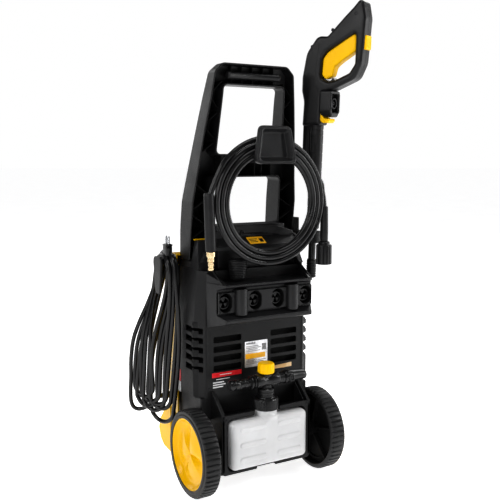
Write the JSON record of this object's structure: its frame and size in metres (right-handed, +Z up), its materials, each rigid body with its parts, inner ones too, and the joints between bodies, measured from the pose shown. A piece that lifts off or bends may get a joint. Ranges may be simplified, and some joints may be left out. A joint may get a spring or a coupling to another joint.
{
  "type": "pressure washer",
  "caption": "Upright electric pressure washer on wheels with a trolley handle, coiled hose, hung mains cord, stored trigger gun, nozzle rack and a clip-in foam bottle.",
  "frame": {"origin": "on the floor under the middle of the wheel axle", "axes": "+Z up; -Y towards the user's side with the foam bottle, nozzle rack and hose; +X towards the trigger gun"},
  "size_m": [0.439, 0.377, 1.0126],
  "materials": {
    "casing_plastic": "fine moulded texture",
    "trim_plastic": "satin moulding",
    "amber_plastic": "satin gloss",
    "amber_hub": "satin gloss",
    "wheel_plastic": "hard moulding with a ribbed tread",
    "foot_rubber": "matte",
    "plate_metal": "satin",
    "steel_parts": "plain",
    "motor_steel": "laminated",
    "winding_metal": "lacquered copper",
    "pump_metal": "cast",
    "brass_parts": "turned",
    "milky_plastic": "translucent blow moulding",
    "foam_plastic": "satin",
    "gun_plastic": "satin",
    "hose_cover": "smooth",
    "cord_cover": "smooth"
  },
  "bodies": {
    "chassis": {"base": "casing_plastic", "rear_shell": "casing_plastic", "front_shell": "amber_plastic", "front_panel": "casing_plastic", "hood": "trim_plastic", "accessory_rack": "trim_plastic", "rack_sockets": "casing_plastic", "rating_plate": "plate_metal", "handle_frame": "casing_plastic", "handle_grip": "trim_plastic", "hose_hook": "trim_plastic", "cord_hook": "casing_plastic", "gun_holder": "casing_plastic", "axle": "steel_parts", "front_feet": "foot_rubber", "casing_screws": "steel_parts", "switch_housing": "casing_plastic", "capacitor": "trim_plastic", "cord_gland": "cord_cover", "motor_stator": "motor_steel", "motor_bearings": "steel_parts", "pump_body": "pump_metal", "pistons": "steel_parts", "piston_springs": "steel_parts", "pump_head": "pump_metal", "pressure_switch": "casing_plastic", "inlet_fitting": "trim_plastic", "outlet_fitting": "brass_parts", "hose_coil": "hose_cover", "hose_tails": "hose_cover", "hose_sleeves": "hose_cover", "hose_plug": "brass_parts", "cord_hank": "cord_cover", "cord_lead": "cord_cover", "plug_body": "cord_cover", "plug_pins": "steel_parts"},
    "rotor": {"motor_shaft": "steel_parts", "motor_rotor": "winding_metal", "motor_fan": "trim_plastic", "swash_plate": "steel_parts"},
    "switch": {"switch_knob": "amber_plastic"},
    "left_road_wheel": {"left_wheel": "wheel_plastic", "left_hubcap": "amber_hub"},
    "right_road_wheel": {"right_wheel": "wheel_plastic", "right_hubcap": "amber_hub"},
    "foam_set": {"foam_bottle": "milky_plastic", "foam_collar": "foam_plastic", "foam_lance_body": "foam_plastic"},
    "foam_dial": {"foam_knob": "amber_plastic"},
    "foam_tip": {"foam_nozzle": "foam_plastic"},
    "spare_nozzle": {"turbo_nozzle": "trim_plastic"},
    "gun": {"gun_shell_left": "gun_plastic", "gun_shell_right": "gun_plastic", "gun_port": "trim_plastic", "gun_valve": "brass_parts", "gun_barrel": "trim_plastic"},
    "trigger": {"gun_trigger": "amber_plastic"},
    "trigger_lock": {"gun_lock": "amber_plastic"},
    "release_button": {"gun_release": "amber_plastic"},
    "hose_end_nut": {"hose_nut": "trim_plastic"}
  },
  "joints": [
    {"name": "left_wheel_spin", "type": "hinge", "parent": "chassis", "child": "left_road_wheel", "pos_m": [-0.1515, 0, 0.09], "axis": [1, 0, 0], "continuous": true},
    {"name": "right_wheel_spin", "type": "hinge", "parent": "chassis", "child": "right_road_wheel", "pos_m": [0.1515, 0, 0.09], "axis": [1, 0, 0], "continuous": true},
    {"name": "rotor_spin", "type": "hinge", "parent": "chassis", "child": "rotor", "pos_m": [0, 0.1, 0.3], "axis": [0, 0, 1], "continuous": true},
    {"name": "switch_turn", "type": "hinge", "parent": "chassis", "child": "switch", "pos_m": [0, 0.2, 0.4], "axis": [0, 1, 0], "range_deg": [0, 90]},
    {"name": "foam_set_pull", "type": "slide", "parent": "chassis", "child": "foam_set", "axis": [0, -1, 0], "range_m": [0, 0.12]},
    {"name": "foam_dial_turn", "type": "hinge", "parent": "foam_set", "child": "foam_dial", "pos_m": [0, -0.033, 0.25], "axis": [0, 0, 1], "range_deg": [0, 270]},
    {"name": "foam_tip_twist", "type": "hinge", "parent": "foam_set", "child": "foam_tip", "pos_m": [0.07, -0.033, 0.23], "axis": [1, 0, 0], "range_deg": [0, 90]},
    {"name": "spare_nozzle_pull", "type": "slide", "parent": "chassis", "child": "spare_nozzle", "axis": [0, -1, 0], "range_m": [0, 0.08]},
    {"name": "gun_lift", "type": "slide", "parent": "chassis", "child": "gun", "axis": [0, -0.0506, 0.9987], "range_m": [0, 0.12]},
    {"name": "trigger_pull", "type": "hinge", "parent": "gun", "child": "trigger", "pos_m": [0.16592, 0.00237, 0.86423], "axis": [-0.9063, -0.4221, -0.0214], "range_deg": [0, 6.5], "stiffness_Nm_per_rad": 1.5, "springref_deg": -2.86},
    {"name": "trigger_lock_slide", "type": "slide", "parent": "gun", "child": "trigger_lock", "axis": [0, -0.0506, 0.9987], "range_m": [0, 0.004]},
    {"name": "release_press", "type": "slide", "parent": "gun", "child": "release_button", "axis": [0, -0.0506, 0.9987], "range_m": [0, 0.003], "stiffness_N_per_m": 400, "springref_m": -0.0015},
    {"name": "hose_nut_spin", "type": "hinge", "parent": "chassis", "child": "hose_end_nut", "pos_m": [0.141, -0.038, 0.49], "axis": [0, 0, 1], "continuous": true}
  ]
}
